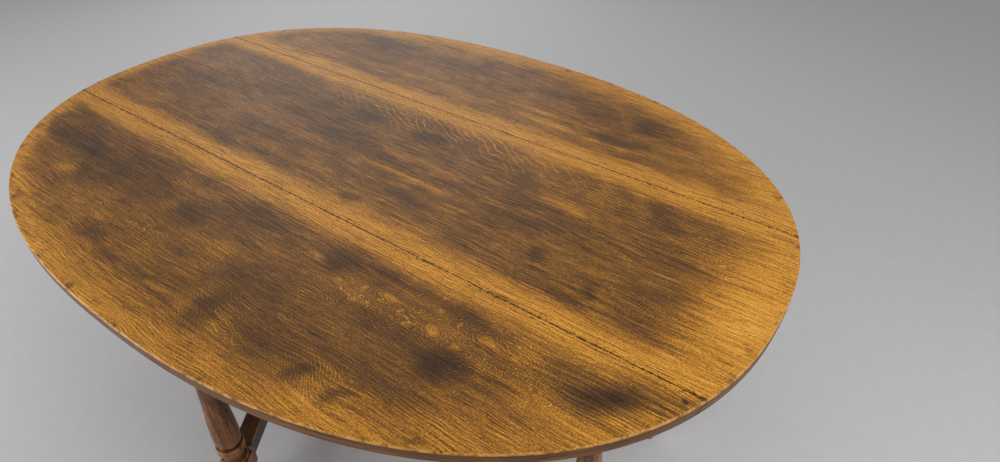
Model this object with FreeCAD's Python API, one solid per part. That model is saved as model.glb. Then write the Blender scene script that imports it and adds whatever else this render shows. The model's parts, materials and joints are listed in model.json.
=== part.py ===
import FreeCAD, Part
import math
import os

from FreeCAD import Vector

# Oval gate-leg table with two drop leaves. X runs along the hinge lines, +Y is the far side,
# Z is up and the origin is on the floor under the middle of the top.

# Top: an oval of three boards
table_height = 740.0
top_length = 1920.0
top_width = 1404.0
top_thickness = 24.0
centre_board_width = 506.0
oval_exponent = 2.31
oval_points = 72
upper_arris = 4.0
lower_arris = 2.0

# Rule joint between the centre board and a leaf
rule_shoulder = 5.0
hinge_axis_rise = 3.0
joint_gap = 1.0
rule_clearance = 0.5

# Back-flap hinges
hinge_pitch_share = 0.323
hinge_width = 40.0
hinge_plate = 2.0
frame_flap_reach = 34.0
leaf_flap_reach = 62.0
knuckle_gap = 0.4
hinge_pin_radius = 1.4
hinge_pin_clearance = 0.05
flap_clearance = 0.2
hinge_offsets = (-1, 0, 1)

# Screws
screw_shank_radius = 2.0
screw_head_radius = 4.0
screw_head_depth = 2.0
screw_grip = 14.0
screw_tip = 4.0
screw_clearance = 0.05
flap_screw_shares = ((-0.3, 0.4), (0.3, 0.4), (0.0, 0.75))

# Fixed frame
end_overhang = 233.0
side_setback = 51.0
leg_block = 66.0
apron_height = 110.0
apron_thickness = 28.0
stretcher_rise = 52.0
stretcher_height = 46.0
stretcher_width = 44.0
cross_stretcher_offset = 470.0
foot_margin = 8.0
shoulder_height = 8.0

# Mortise and tenon joints with pegs
tenon_thickness = 10.0
tenon_shoulder = 8.0
tenon_end_gap = 1.0
tenon_clearance = 0.1
peg_radius = 4.0
peg_past = 6.0
peg_clearance = 0.05
apron_peg_shares = (0.28, 0.72)
single_peg_shares = (0.5,)

# Gates
gate_open_angle = 57.3
gate_pivot_offset = 259.0
gate_leg_inset = 127.0
gate_rail_thickness = 26.0
gate_rail_height = 44.0
gate_stretcher_height = 44.0
gate_stretcher_width = 46.0
gate_rail_gap = 6.0
post_block = 48.0
pivot_radius = 9.0
pivot_length = 30.0
pivot_clearance = 0.1
gate_gap = 0.5
lap_gap = 2.0
lap_clearance = 0.75
lap_side_clearance = 1.5
gate_top_clearance = 0.3

# Stop block and rounded block under each leaf
stop_length = 64.0
stop_width = 22.0
stop_height = 18.0
stop_gap = 0.5
stop_screw_share = 0.28
rim_block_radius = 10.0
rim_block_height = 9.0
rim_block_round = 3.0
rim_block_length_share = 0.9
rim_block_leaf_share = 0.785

# Buttons that hold the centre board down
button_length = 38.0
button_width = 30.0
button_height = 22.0
button_tongue = 8.0
button_tongue_drop = 8.0
button_gap = 0.5
button_spacing_share = 0.25

# Beads and reels of the turned shafts, from the bottom up: height, then the first, middle and last
# radius, all as shares of half the block
lower_bead_shares = (
    (0.24, 0.90, 0.97, 0.90),
    (0.94, 0.80, 0.66, 0.84),
    (0.33, 0.93, 1.00, 0.93),
    (0.33, 0.93, 1.00, 0.93),
    (0.15, 0.80, 0.76, 0.80),
)
upper_bead_shares = (
    (0.424, 0.74, 0.86, 0.74),
    (0.545, 0.66, 0.60, 0.80),
    (0.242, 0.88, 0.94, 0.88),
    (0.303, 0.80, 0.76, 0.88),
)
# Foot: the same, but with the heights as shares of the foot's height
foot_bead_shares = (
    (0.72, 0.60, 0.95, 0.62),
    (0.28, 0.62, 0.57, 0.72),
)
# Baluster, which takes the length that the beads leave: height share and radius share of each point of
# its smooth outline
baluster_shares = (
    (0.000, 0.80),
    (0.031, 0.885),
    (0.087, 0.940),
    (0.174, 0.935),
    (0.320, 0.879),
    (0.553, 0.742),
    (0.851, 0.621),
    (0.953, 0.595),
    (1.000, 0.640),
)

# One overrun serves all cuts, and one tolerance all comparisons of points
overrun = 5.0
tolerance = 0.001

# Places that follow from the sizes above
underside = table_height - top_thickness
hinge_y = centre_board_width / 2
hinge_pitch = hinge_pitch_share * top_length
axis_z = underside + hinge_axis_rise
rule_radius = top_thickness - rule_shoulder - hinge_axis_rise
cove_radius = rule_radius + rule_clearance
leg_half = leg_block / 2
post_half = post_block / 2
leg_x = top_length / 2 - end_overhang
leg_y = hinge_y - side_setback
apron_bottom = underside - apron_height
stretcher_top = stretcher_rise + stretcher_height
gate_stretcher_bottom = stretcher_top + gate_rail_gap
gate_stretcher_top = gate_stretcher_bottom + gate_stretcher_height
gate_rail_top = apron_bottom - gate_rail_gap
gate_rail_bottom = gate_rail_top - gate_rail_height
lower_block_bottom = stretcher_rise - foot_margin
lower_block_top = gate_stretcher_top + gate_rail_gap
upper_block_bottom = gate_rail_bottom - gate_rail_gap
gate_reach = top_width / 2 - gate_leg_inset - leg_y
gate_length = gate_reach / math.sin(math.radians(gate_open_angle))
button_grip = button_height - screw_head_depth + screw_grip
stop_grip = stop_height - screw_head_depth + screw_grip

origin = Vector(0, 0, 0)
up = Vector(0, 0, 1)
along = Vector(1, 0, 0)
across = Vector(0, 1, 0)


def save(name, *solids):
    """Write one node, one piece or a group of like pieces."""
    shape = solids[0] if len(solids) == 1 else Part.makeCompound(list(solids))
    shape.exportStep(os.path.join("parts", name + ".step"))


def block(x0, x1, y0, y1, z0, z1):
    """Box between two corners."""
    return Part.makeBox(x1 - x0, y1 - y0, z1 - z0, Vector(x0, y0, z0))


def placed(shape, angle, x, y):
    """Copy turned about Z and moved over the floor."""
    copy = shape.copy()
    copy.rotate(origin, up, angle)
    copy.translate(Vector(x, y, 0))
    return copy


def half_turn(shape):
    """Copy for the opposite side of the table."""
    return placed(shape, 180, 0, 0)


def joined(solids):
    """One clean solid out of pieces that meet."""
    return solids[0].fuse(solids[1:]).removeSplitter()


# Top boards


def oval_prism():
    """The whole oval top with its edges eased, before it is parted into boards."""
    power = 2 / oval_exponent
    points = []
    for step in range(oval_points):
        angle = 2 * math.pi * step / oval_points
        cosine = math.cos(angle)
        sine = math.sin(angle)
        x = math.copysign(abs(cosine) ** power, cosine) * top_length / 2
        y = math.copysign(abs(sine) ** power, sine) * top_width / 2
        points.append(Vector(x, y, underside))
    curve = Part.BSplineCurve()
    curve.interpolate(Points=points, PeriodicFlag=True)
    prism = Part.Face(Part.Wire(curve.toShape())).extrude(up * top_thickness)
    for level, radius in ((table_height, upper_arris), (underside, lower_arris)):
        rim = [edge for edge in prism.Edges if edge.BoundBox.ZMin > level - tolerance]
        rim = [edge for edge in rim if edge.BoundBox.ZMax < level + tolerance]
        prism = prism.makeFillet(radius, rim)
    return prism


def oval_y(x):
    """Half width of the oval at a distance along it."""
    share = abs(2 * x / top_length) ** oval_exponent
    return top_width / 2 * (1 - share) ** (1 / oval_exponent)


def extruded_section(edges):
    """Section in the YZ plane swept over the whole length of the top."""
    reach = top_length / 2 + overrun
    face = Part.Face(Part.Wire(edges))
    face.translate(along * -reach)
    return face.extrude(along * 2 * reach)


def chain(points):
    """Straight edges through points given as (y, z)."""
    places = [Vector(0, y, z) for y, z in points]
    return [Part.LineSegment(a, b).toShape() for a, b in zip(places, places[1:])]


def round_arc(side, radius, first, last):
    """Arc about a hinge axis between two angles, measured outwards from straight up."""
    places = []
    for angle in (first, (first + last) / 2, last):
        y = side * (hinge_y + radius * math.sin(angle))
        places.append(Vector(0, y, axis_z + radius * math.cos(angle)))
    return Part.Arc(*places).toShape()


def centre_section():
    """Centre board: a square shoulder over a quarter round on both edges."""
    nose = hinge_y + rule_radius
    high = table_height + overrun
    low = underside - overrun
    shoulder = axis_z + rule_radius
    quarter = math.pi / 2
    edges = chain(((-hinge_y, high), (-hinge_y, shoulder)))
    edges.append(round_arc(-1, rule_radius, 0, quarter))
    edges += chain(((-nose, axis_z), (-nose, low), (nose, low), (nose, axis_z)))
    edges.append(round_arc(1, rule_radius, quarter, 0))
    edges += chain(((hinge_y, shoulder), (hinge_y, high), (-hinge_y, high)))
    return extruded_section(edges)


def near_leaf_section():
    """Near leaf: a cove that turns round the centre board's quarter round."""
    start = math.asin(joint_gap / cove_radius)
    inner = -hinge_y - joint_gap
    lip = -hinge_y - cove_radius
    outer = -top_width / 2 - overrun
    high = table_height + overrun
    low = underside - overrun
    cove_top = axis_z + cove_radius * math.cos(start)
    edges = chain(((inner, high), (inner, cove_top)))
    edges.append(round_arc(-1, cove_radius, start, math.pi / 2))
    edges += chain(((lip, axis_z), (lip, low), (outer, low), (outer, high), (inner, high)))
    return extruded_section(edges)


# Screws and hinges, modelled about a hinge axis with the near leaf towards -Y


def screw(grip, extra=0):
    """Countersunk screw pointing up from the outer face of its head."""
    shank = screw_shank_radius + extra
    head = Part.makeCone(screw_head_radius + extra, shank, screw_head_depth)
    stem = Part.makeCylinder(shank, grip - screw_tip, up * screw_head_depth)
    tip = Part.makeCone(shank, 0, screw_tip, up * (screw_head_depth + grip - screw_tip))
    return joined([head, stem, tip])


def flap_screw_places(side, reach):
    """Screw places of one flap, on the side of the axis that it covers."""
    return [Vector(x * hinge_width, side * y * reach, -hinge_axis_rise) for x, y in flap_screw_shares]


def screws_at(places, grip, extra=0):
    """A group of screws."""
    group = []
    for place in places:
        one = screw(grip, extra)
        one.translate(place)
        group.append(one)
    return group


def bores_at(places, grip):
    """Holes for a group of screws."""
    return screws_at(places, grip, screw_clearance)


def knuckle(low, high, radius):
    """Length of hinge barrel along the axis."""
    return Part.makeCylinder(radius, high - low, along * low, along)


def flap(side, reach, spans):
    """Flap with its plate flush with the underside and its knuckles round the pin."""
    half = hinge_width / 2
    inner = hinge_axis_rise + knuckle_gap
    low = -hinge_axis_rise
    y0, y1 = sorted((side * inner, side * reach))
    solids = [block(-half, half, y0, y1, low, low + hinge_plate)]
    for start, end in spans:
        y0, y1 = sorted((0, side * (inner + knuckle_gap)))
        solids.append(block(start, end, y0, y1, low, low + hinge_plate))
        solids.append(knuckle(start, end, hinge_axis_rise))
    bore = knuckle(-half - overrun, half + overrun, hinge_pin_radius + hinge_pin_clearance)
    return joined(solids).cut(bore)


def hinge_pieces():
    """Frame flap, leaf flap and pin of one hinge, screws left out."""
    half = hinge_width / 2
    third = hinge_width / 6
    outer_spans = ((-half, -third), (third, half))
    middle_span = ((-third + knuckle_gap, third - knuckle_gap),)
    frame_bores = bores_at(flap_screw_places(1, frame_flap_reach), screw_grip)
    leaf_bores = bores_at(flap_screw_places(-1, leaf_flap_reach), screw_grip)
    frame_flap = flap(1, frame_flap_reach, outer_spans).cut(frame_bores)
    leaf_flap = flap(-1, leaf_flap_reach, middle_span).cut(leaf_bores)
    return frame_flap, leaf_flap, knuckle(-half, half, hinge_pin_radius)


def hinge_recess(side, reach):
    """Bed of one flap in the underside of its board."""
    half = hinge_width / 2 + flap_clearance
    y0, y1 = sorted((0, side * (reach + flap_clearance)))
    return block(-half, half, y0, y1, -hinge_axis_rise - overrun, hinge_plate - hinge_axis_rise)


def centre_hinge_cuts():
    """Room for a hinge in the centre board: flap bed, barrel groove and the nose over the leaf flap."""
    half = hinge_width / 2 + knuckle_gap
    radius = hinge_axis_rise + knuckle_gap
    low = -hinge_axis_rise - overrun
    groove = knuckle(-half, half, radius).fuse(block(-half, half, -radius, radius, low, 0))
    nose = block(-half, half, -rule_radius - overrun, 0, low, 0)
    return [hinge_recess(1, frame_flap_reach), groove, nose]


def at_hinges(shapes):
    """Copies of shapes at every hinge of the near rule joint."""
    copies = []
    for offset in hinge_offsets:
        for shape in shapes:
            copy = shape.copy()
            copy.translate(Vector(offset * hinge_pitch, -hinge_y, axis_z))
            copies.append(copy)
    return copies


# Turned legs and posts


def bead_run(shares, half):
    """Height of a whole run of beads and reels."""
    return sum(row[0] for row in shares) * half


def bead_edges(edges, point, shares, half, low, unit):
    """Append a run of beads and reels to a turned outline and give its last point."""
    height = low
    for height_share, first, middle, last in shares:
        rise = height_share * unit
        start = Vector(first * half, 0, height)
        crest = Vector(middle * half, 0, height + rise / 2)
        height += rise
        end = Vector(last * half, 0, height)
        if not start.isEqual(point, tolerance):
            edges.append(Part.LineSegment(point, start).toShape())
        edges.append(Part.Arc(start, crest, end).toShape())
        point = end
    return point


def revolved(edges, point, low):
    """Turn an outline that starts on the axis about Z."""
    top = Vector(0, 0, point.z)
    edges.append(Part.LineSegment(point, top).toShape())
    edges.append(Part.LineSegment(top, Vector(0, 0, low)).toShape())
    return Part.Face(Part.Wire(edges)).revolve(origin, up, 360)


def turned_shaft(half, low, high):
    """Ringed reel, collar of two beads, a baluster that swells downwards, and a ringed neck."""
    edges = []
    bead_edges(edges, Vector(0, 0, low), lower_bead_shares, half, low, half)
    collar = low + bead_run(lower_bead_shares, half)
    ring = high - bead_run(upper_bead_shares, half)
    span = ring - collar
    swell = [Vector(radius * half, 0, collar + height * span) for height, radius in baluster_shares]
    curve = Part.BSplineCurve()
    curve.interpolate(swell)
    edges.append(curve.toShape())
    point = bead_edges(edges, swell[-1], upper_bead_shares, half, ring, half)
    return revolved(edges, point, low)


def turned_foot(half, high):
    """Small turned foot under a leg's lower block."""
    edges = []
    point = bead_edges(edges, origin, foot_bead_shares, half, 0, high)
    return revolved(edges, point, 0)


def shoulder_waste(half, level, toward):
    """What the turner takes off the corners at one end of a square block."""
    reach = half * math.sqrt(2)
    z0, z1 = sorted((level, level + toward * shoulder_height))
    wide = half + overrun
    cone = Part.makeCone(half, reach, shoulder_height, up * level, up * toward)
    return block(-wide, wide, -wide, wide, z0, z1).cut(cone)


def square_block(half, low, high, low_turned, high_turned):
    """Square stretch of a leg, with turned shoulders where it meets a turned stretch."""
    solid = block(-half, half, -half, half, low, high)
    if low_turned:
        solid = solid.cut(shoulder_waste(half, low, 1))
    if high_turned:
        solid = solid.cut(shoulder_waste(half, high, -1))
    return solid


def turned_leg(top):
    """Leg with a foot, a low block for the stretchers, a shaft and a top block."""
    return joined([
        turned_foot(leg_half, lower_block_bottom),
        square_block(leg_half, lower_block_bottom, lower_block_top, True, True),
        turned_shaft(leg_half, lower_block_top, upper_block_bottom),
        square_block(leg_half, upper_block_bottom, top, True, False),
    ])


def pivot_post():
    """Turned post that the gate swings on, with a round pivot at each end."""
    low = stretcher_top + gate_gap
    high = apron_bottom - gate_gap
    return joined([
        Part.makeCylinder(pivot_radius, pivot_length, up * (low - pivot_length)),
        square_block(post_half, low, lower_block_top, False, True),
        turned_shaft(post_half, lower_block_top, upper_block_bottom),
        square_block(post_half, upper_block_bottom, high, True, False),
        Part.makeCylinder(pivot_radius, pivot_length, up * high),
    ])


def pivot_bores():
    """Bores for the pivots, in the side stretcher below and the side apron above."""
    radius = pivot_radius + pivot_clearance
    length = pivot_length + gate_gap
    below = Part.makeCylinder(radius, length + overrun, up * (stretcher_top - length))
    above = Part.makeCylinder(radius, length + overrun, up * (apron_bottom - overrun))
    return below, above


# Rails: along +X from one block's face to the other's, with the outer side towards -Y


def tenon_depth(half):
    """How far a tenon enters a block, short of the tenon that comes in from its other side."""
    return half - tenon_thickness / 2 - tenon_end_gap


def rail(length, thickness, low, high, first_half, last_half):
    """Rail with a tenon at each end."""
    side = thickness / 2
    cheek = tenon_thickness / 2
    return joined([
        block(0, length, -side, side, low, high),
        block(-tenon_depth(first_half), length + tenon_depth(last_half), -cheek, cheek,
              low + tenon_shoulder, high - tenon_shoulder),
    ])


def mortises(length, low, high, first_half, last_half):
    """Both mortises of a rail as one bar."""
    cheek = tenon_thickness / 2 + tenon_clearance
    first = -tenon_depth(first_half) - tenon_clearance
    last = length + tenon_depth(last_half) + tenon_clearance
    return block(first, last, -cheek, cheek,
                 low + tenon_shoulder - tenon_clearance, high - tenon_shoulder + tenon_clearance)


def pegs(length, low, high, first_half, last_half, shares, extra=0):
    """Pegs through the tenons at both ends, driven in from the outer faces."""
    ends = (
        (-tenon_depth(first_half) / 2, first_half),
        (length + tenon_depth(last_half) / 2, last_half),
    )
    reach = tenon_thickness / 2 + peg_past
    group = []
    for x, half in ends:
        for share in shares:
            foot = Vector(x, -half, low + share * (high - low))
            group.append(Part.makeCylinder(peg_radius + extra, half + reach, foot, across))
    return group


def rail_family(length, thickness, low, high, first_half, last_half, shares):
    """A rail bored for its pegs, the pegs, and all that is cut from the blocks at its ends."""
    sizes = (length, low, high, first_half, last_half)
    bores = pegs(*sizes, shares, peg_clearance)
    solid = rail(length, thickness, low, high, first_half, last_half).cut(bores)
    return solid, pegs(*sizes, shares), [mortises(*sizes)] + bores


def family_placed(family, angle, x, y):
    """Copy of a rail family turned and moved to its place."""
    solid, its_pegs, cuts = family
    return (
        placed(solid, angle, x, y),
        [placed(one, angle, x, y) for one in its_pegs],
        [placed(one, angle, x, y) for one in cuts],
    )


# Buttons: along +X from an apron's inner face, the tongue in a groove of the apron


def button_screw_place():
    """Foot of a button's screw."""
    return Vector(button_length / 2, 0, underside - button_height)


def top_button():
    """Wooden button with its tongue, bored for its screw."""
    half = button_width / 2
    high = underside - button_tongue_drop
    body = block(button_gap, button_length, -half, half, underside - button_height, underside)
    tongue = block(-button_tongue, button_gap, -half, half, high - button_tongue, high)
    return joined([body, tongue]).cut(bores_at([button_screw_place()], button_grip))


def button_groove():
    """Groove in an apron's inner face for a button's tongue."""
    half = button_width / 2 + button_gap
    high = underside - button_tongue_drop + tenon_clearance
    low = underside - button_tongue_drop - button_tongue - tenon_clearance
    return block(-button_tongue - button_gap, overrun, -half, half, low, high)


def button_places():
    """Turn and place of each button: one on an end apron and two on a side apron, twice."""
    end = leg_x - apron_thickness / 2
    side = leg_y - apron_thickness / 2
    spacing = button_spacing_share * 2 * leg_x
    places = []
    for sign, turn in ((-1, 180), (1, 0)):
        places.append((turn, -sign * end, 0))
        places.append((turn + 90, -spacing, -sign * side))
        places.append((turn + 90, spacing, -sign * side))
    return places


# Blocks under a leaf


def stop_screw_places():
    """Feet of the two screws of a gate stop, beside a gate modelled shut."""
    y = -leg_half - stop_gap - stop_width / 2
    spread = stop_screw_share * stop_length
    return [Vector(gate_length + x, y, underside - stop_height) for x in (-spread, spread)]


def gate_stop():
    """Block that the open gate leg comes up against."""
    half = stop_length / 2
    face = -leg_half - stop_gap
    solid = block(gate_length - half, gate_length + half, face - stop_width, face,
                  underside - stop_height, underside)
    return solid.cut(bores_at(stop_screw_places(), stop_grip))


def rim_block():
    """Small rounded block under the near leaf, close to the rim."""
    x = rim_block_length_share * top_length / 2
    y = hinge_y + rim_block_leaf_share * (oval_y(x) - hinge_y)
    low = underside - rim_block_height
    solid = Part.makeCylinder(rim_block_radius, rim_block_height, Vector(x, -y, low))
    rim = [edge for edge in solid.Edges if edge.Closed and edge.BoundBox.ZMax < underside - tolerance]
    return solid.makeFillet(rim_block_round, rim)


# Gate pieces, modelled shut along +X from the pivot


def gate_families():
    """Top rail and stretcher of a gate."""
    length = gate_length - post_half - leg_half
    families = {}
    for kind, thickness, low, high in (
        ("top_rail", gate_rail_thickness, gate_rail_bottom, gate_rail_top),
        ("stretcher", gate_stretcher_width, gate_stretcher_bottom, gate_stretcher_top),
    ):
        family = rail_family(length, thickness, low, high, post_half, leg_half, single_peg_shares)
        families[kind] = family_placed(family, 0, post_half, 0)
    return families


def gate_leg_blank():
    """Turned leg whose inner half is cut away at the side rails' heights, so that it laps them."""
    top = underside - gate_top_clearance
    wide = leg_half + overrun
    wastes = []
    for low, high in (
        (lower_block_bottom, stretcher_top + lap_gap),
        (apron_bottom - lap_gap, top + overrun),
    ):
        wastes.append(block(-wide, wide, -lap_clearance, wide, low, high))
    return placed(turned_leg(top).cut(wastes), 0, gate_length, 0)


def gate_open(shape):
    """Copy of a gate piece where it stands with the near gate swung open."""
    return placed(shape, -gate_open_angle, -gate_pivot_offset, -leg_y)


def gate_shut(shape):
    """Copy of a gate piece where it stands with the far gate shut."""
    return half_turn(placed(shape, 0, -gate_pivot_offset, -leg_y))


def side_rail_lap():
    """Notch in the near side rails for the outer half of the shut gate leg."""
    x = gate_length - gate_pivot_offset
    half = leg_half + lap_side_clearance
    return block(x - half, x + half, -leg_y - stretcher_width, -leg_y, 0, table_height)


# Build


os.makedirs("parts", exist_ok=True)

# Rails between the fixed legs: near side and right end first, the others half a turn round
side_length = 2 * (leg_x - leg_half)
end_length = 2 * (leg_y - leg_half)
apron_sizes = (apron_thickness, apron_bottom, underside, leg_half, leg_half, apron_peg_shares)
stretcher_sizes = (stretcher_width, stretcher_rise, stretcher_top, leg_half, leg_half, single_peg_shares)
side_apron = rail_family(side_length, *apron_sizes)
side_stretcher = rail_family(side_length, *stretcher_sizes)
end_apron = rail_family(end_length, *apron_sizes)
frame_rails = {
    "near_side_apron": family_placed(side_apron, 0, leg_half - leg_x, -leg_y),
    "near_side_stretcher": family_placed(side_stretcher, 0, leg_half - leg_x, -leg_y),
    "right_end_apron": family_placed(end_apron, 90, leg_x, leg_half - leg_y),
}
for name, opposite in (
    ("near_side_apron", "far_side_apron"),
    ("near_side_stretcher", "far_side_stretcher"),
    ("right_end_apron", "left_end_apron"),
):
    frame_rails[opposite] = family_placed(frame_rails[name], 180, 0, 0)

frame_cuts = [cut for family in frame_rails.values() for cut in family[2]]
save("frame_pegs", *[peg for family in frame_rails.values() for peg in family[1]])

# Fixed legs
for side, y in (("near", -leg_y), ("far", leg_y)):
    for end, x in (("left", -leg_x), ("right", leg_x)):
        leg = placed(turned_leg(underside), 0, x, y)
        save(f"{side}_{end}_leg", leg.cut(frame_cuts))

# Buttons, their screws and the holes for both
button = top_button()
button_screw = screws_at([button_screw_place()], button_grip)[0]
button_bore = bores_at([button_screw_place()], button_grip)[0]
places = button_places()
button_grooves = [placed(button_groove(), *place) for place in places]
button_bores = [placed(button_bore, *place) for place in places]
save("top_buttons", *[placed(button, *place) for place in places])
save("top_button_screws", *[placed(button_screw, *place) for place in places])

# Cross stretchers, tenoned into the side stretchers well inside the ends
cross_half = stretcher_width / 2
cross_length = 2 * (leg_y - cross_half)
cross_mortises = []
for end, x in (("left", -cross_stretcher_offset), ("right", cross_stretcher_offset)):
    place = (90, x, cross_half - leg_y)
    cross = rail(cross_length, stretcher_width, stretcher_rise, stretcher_top, cross_half, cross_half)
    save(f"{end}_cross_stretcher", placed(cross, *place))
    mortise = mortises(cross_length, stretcher_rise, stretcher_top, cross_half, cross_half)
    cross_mortises.append(placed(mortise, *place))

# Side rails take the pivots and cross stretchers, and a lap where the shut gate leg stands
bore_below, bore_above = pivot_bores()
side_cuts = {
    "apron": [side_rail_lap(), placed(bore_above, 0, -gate_pivot_offset, -leg_y)],
    "stretcher": [side_rail_lap(), placed(bore_below, 0, -gate_pivot_offset, -leg_y)] + cross_mortises,
}
for name, (solid, _, _) in frame_rails.items():
    side, _, kind = name.split("_")
    if kind == "apron":
        solid = solid.cut(button_grooves)
    if side == "near":
        solid = solid.cut(side_cuts[kind])
    if side == "far":
        solid = solid.cut([half_turn(cut) for cut in side_cuts[kind]])
    save(name, solid)

# Gates: the near one is swung open, the far one is shut
gate_rails = gate_families()
gate_cuts = [cut for family in gate_rails.values() for cut in family[2]]
gate_leg = gate_leg_blank().cut(gate_cuts)
gate_post = pivot_post().cut(gate_cuts)
gate_pegs = [peg for family in gate_rails.values() for peg in family[1]]
for side, stood in (("near", gate_open), ("far", gate_shut)):
    save(f"{side}_gate_leg", stood(gate_leg))
    save(f"{side}_gate_post", stood(gate_post))
    for kind, family in gate_rails.items():
        save(f"{side}_gate_{kind}", stood(family[0]))
    save(f"{side}_gate_pegs", *[stood(peg) for peg in gate_pegs])

# Top boards with the beds of the hinges and the bores of all their screws
oval = oval_prism()
frame_flap_places = flap_screw_places(1, frame_flap_reach)
leaf_flap_places = flap_screw_places(-1, leaf_flap_reach)
centre_cuts = at_hinges(centre_hinge_cuts() + bores_at(frame_flap_places, screw_grip))
leaf_cuts = at_hinges([hinge_recess(-1, leaf_flap_reach)] + bores_at(leaf_flap_places, screw_grip))
leaf_cuts += [gate_open(bore) for bore in bores_at(stop_screw_places(), stop_grip)]
centre_board = oval.common(centre_section()).cut(centre_cuts + button_bores)
save("centre_board", centre_board.cut([half_turn(cut) for cut in centre_cuts]))

# Near leaf with all that is fixed to its edge, and the far leaf half a turn round
frame_flap, leaf_flap, pin = hinge_pieces()
stop_screws = screws_at(stop_screw_places(), stop_grip)
leaf_set = {
    "leaf": [oval.common(near_leaf_section()).cut(leaf_cuts)],
    "gate_stop": [gate_open(gate_stop())],
    "gate_stop_screws": [gate_open(one) for one in stop_screws],
    "rim_block": [rim_block()],
    "frame_flap_screws": at_hinges(screws_at(frame_flap_places, screw_grip)),
    "leaf_flap_screws": at_hinges(screws_at(leaf_flap_places, screw_grip)),
}
for kind, piece in (("frame_flap", frame_flap), ("leaf_flap", leaf_flap), ("pin", pin)):
    for number, one in enumerate(at_hinges([piece]), 1):
        leaf_set[f"hinge_{number}_{kind}"] = [one]
for name, solids in leaf_set.items():
    save("near_" + name, *solids)
    save("far_" + name, *[half_turn(solid) for solid in solids])
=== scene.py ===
import json
import math

import bmesh
import bpy
from mathutils import Color, Matrix, Vector, noise

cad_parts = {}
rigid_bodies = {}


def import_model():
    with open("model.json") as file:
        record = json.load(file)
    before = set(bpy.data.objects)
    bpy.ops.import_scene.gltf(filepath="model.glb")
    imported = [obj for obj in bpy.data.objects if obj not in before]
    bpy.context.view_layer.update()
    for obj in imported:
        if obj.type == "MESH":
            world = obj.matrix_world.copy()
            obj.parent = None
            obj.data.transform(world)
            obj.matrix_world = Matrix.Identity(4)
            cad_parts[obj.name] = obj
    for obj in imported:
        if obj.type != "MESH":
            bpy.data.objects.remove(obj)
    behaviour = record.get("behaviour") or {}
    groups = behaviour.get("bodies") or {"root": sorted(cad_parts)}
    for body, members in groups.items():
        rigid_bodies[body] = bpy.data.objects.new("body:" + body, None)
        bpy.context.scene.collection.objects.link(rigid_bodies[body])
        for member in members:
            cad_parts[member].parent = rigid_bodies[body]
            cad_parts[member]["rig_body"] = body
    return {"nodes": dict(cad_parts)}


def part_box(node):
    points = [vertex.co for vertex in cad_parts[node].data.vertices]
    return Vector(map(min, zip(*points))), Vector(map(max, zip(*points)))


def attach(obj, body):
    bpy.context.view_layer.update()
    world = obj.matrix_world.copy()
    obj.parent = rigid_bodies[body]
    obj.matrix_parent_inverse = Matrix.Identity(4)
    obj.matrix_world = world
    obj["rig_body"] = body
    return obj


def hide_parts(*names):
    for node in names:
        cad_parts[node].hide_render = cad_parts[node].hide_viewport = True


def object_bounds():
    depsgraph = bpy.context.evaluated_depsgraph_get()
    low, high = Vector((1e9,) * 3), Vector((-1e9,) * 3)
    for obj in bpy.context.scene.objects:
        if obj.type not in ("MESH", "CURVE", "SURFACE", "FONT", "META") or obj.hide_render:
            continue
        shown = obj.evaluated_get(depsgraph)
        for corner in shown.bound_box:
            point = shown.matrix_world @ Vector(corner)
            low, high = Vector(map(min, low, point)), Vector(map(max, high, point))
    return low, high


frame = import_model()
cad_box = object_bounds()

# Fixed legs: four oak posts, left square where the rails enter and turned on a lathe between.
# Use has rounded their corners and rubbed the beads pale, and old wax lies dark in the grooves.

leg_nodes = [f"{side}_{end}_leg" for side in ("near", "far") for end in ("left", "right")]
leg_arris = 0.0016
leg_shortest_edge = 0.02
arris_steps = 2
arris_spread = 1.5
merge_reach = 0.00001
flat_angle = math.radians(0.4)
sharp_angle = math.radians(50)
smooth_angle = math.radians(32)


def take_up(piece):
    """Leave one piece selected and active."""
    bpy.ops.object.select_all(action="DESELECT")
    piece.select_set(True)
    bpy.context.view_layer.objects.active = piece


def copied(node):
    """Copy of a CAD piece as one closed mesh with whole flat faces."""
    piece = bpy.data.objects.new(node + "_worked", frame["nodes"][node].data.copy())
    bpy.context.scene.collection.objects.link(piece)
    take_up(piece)
    bpy.ops.mesh.customdata_custom_splitnormals_clear()
    bpy.ops.object.mode_set(mode="EDIT")
    bpy.ops.mesh.select_all(action="SELECT")
    bpy.ops.mesh.remove_doubles(threshold=merge_reach)
    bpy.ops.mesh.dissolve_limited(angle_limit=flat_angle)
    bpy.ops.object.mode_set(mode="OBJECT")
    return piece


def opened(piece, kind):
    """Open a piece for editing by edges or faces, with nothing selected."""
    take_up(piece)
    bpy.ops.object.mode_set(mode="EDIT")
    bpy.ops.mesh.select_mode(type=kind)
    bpy.ops.mesh.select_all(action="DESELECT")
    return bmesh.from_edit_mesh(piece.data)


def ease(piece, width, shortest):
    """Round the long sharp edges of a piece and note which faces were rounded."""
    shape = opened(piece, "EDGE")
    for edge in shape.edges:
        if edge.is_convex and edge.calc_length() > shortest and edge.calc_face_angle(0) > sharp_angle:
            edge.select_set(True)
    bmesh.update_edit_mesh(piece.data)
    bpy.ops.mesh.bevel(offset=width, segments=arris_steps, affect="EDGES", clamp_overlap=False)
    bpy.ops.object.mode_set(mode="OBJECT")
    arris = piece.data.attributes.new("arris", "FLOAT", "FACE")
    points = piece.data.vertices
    for face in piece.data.polygons:
        longest = max((points[a].co - points[b].co).length for a, b in face.edge_keys)
        narrow = face.area < arris_spread * width * longest
        arris.data[face.index].value = float(face.select and narrow)


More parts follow.
